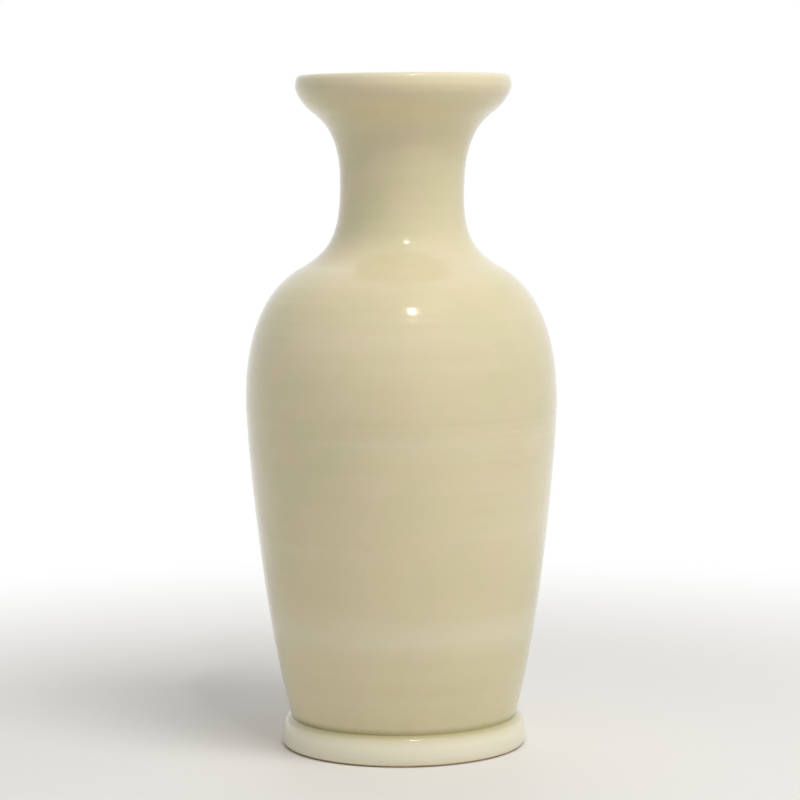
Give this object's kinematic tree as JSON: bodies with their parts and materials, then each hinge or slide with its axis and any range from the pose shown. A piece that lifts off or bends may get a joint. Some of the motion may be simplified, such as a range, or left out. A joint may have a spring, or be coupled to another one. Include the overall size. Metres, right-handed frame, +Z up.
{
  "type": "baluster floor vase",
  "caption": "Tall baluster floor vase with a full belly, narrow neck, everted mouth and rounded bead foot, glazed warm cream, open at the top for stems.",
  "frame": {"origin": "centre of the foot's resting ring, on the floor", "axes": "+Z up through the mouth; the vase is round about Z, and -Y faces the picture's camera"},
  "size_m": [0.284, 0.284, 0.61],
  "materials": {
    "glaze": "glossy warm cream glaze with a faint green and pink cloud",
    "bare_clay": "unglazed fired clay, matt, with trimming rings"
  },
  "bodies": {
    "root": {"foot_ring": "glaze", "base_floor": "bare_clay", "lower_body": "glaze", "upper_body": "glaze", "neck": "glaze", "mouth_rim": "glaze"}
  },
  "joints": []
}
